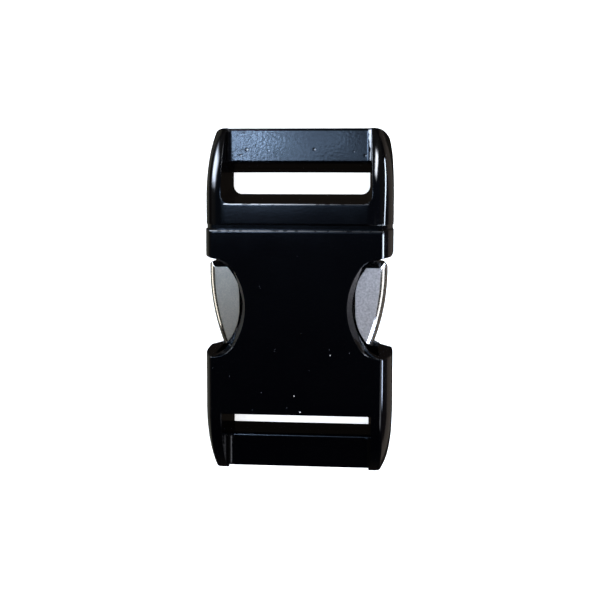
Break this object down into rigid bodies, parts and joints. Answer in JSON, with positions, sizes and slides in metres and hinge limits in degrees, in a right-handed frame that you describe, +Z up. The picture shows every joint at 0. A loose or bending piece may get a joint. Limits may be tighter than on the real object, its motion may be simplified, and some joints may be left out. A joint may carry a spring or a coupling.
{
  "type": "side-release buckle",
  "caption": "Fastened side-release buckle for webbing, black painted die-cast body with nickel-plated side levers that squeeze inward.",
  "frame": {"origin": "centre of the flat back of the fastened buckle, on the surface that it lies on", "axes": "+X across the webbing, +Y along the webbing towards the plug end, +Z up out of the flat top"},
  "size_m": [0.035, 0.0628, 0.0105],
  "materials": {
    "black_paint": "glossy black enamel on die-cast zinc",
    "nickel_plate": "nickel plate, fine matte on the flat faces and bright on the edges",
    "steel": "plain steel"
  },
  "bodies": {
    "fastened_body": {"socket_body": "black_paint", "plug_frame": "black_paint", "left_pivot_pin": "steel", "right_pivot_pin": "steel", "left_spring": "steel", "right_spring": "steel"},
    "left_lever_body": {"left_lever": "nickel_plate"},
    "right_lever_body": {"right_lever": "nickel_plate"}
  },
  "joints": [
    {"name": "left_lever_press", "type": "hinge", "parent": "fastened_body", "child": "left_lever_body", "pos_m": [-0.0115, 0.0154, 0.00525], "axis": [0, 0, 1], "range_deg": [0, 12], "stiffness_Nm_per_rad": 0.15, "springref_deg": -17.19, "deforming": ["left_spring"]},
    {"name": "right_lever_press", "type": "hinge", "parent": "fastened_body", "child": "right_lever_body", "pos_m": [0.0115, 0.0154, 0.00525], "axis": [0, 0, -1], "range_deg": [0, 12], "stiffness_Nm_per_rad": 0.15, "springref_deg": -17.19, "deforming": ["right_spring"]}
  ]
}
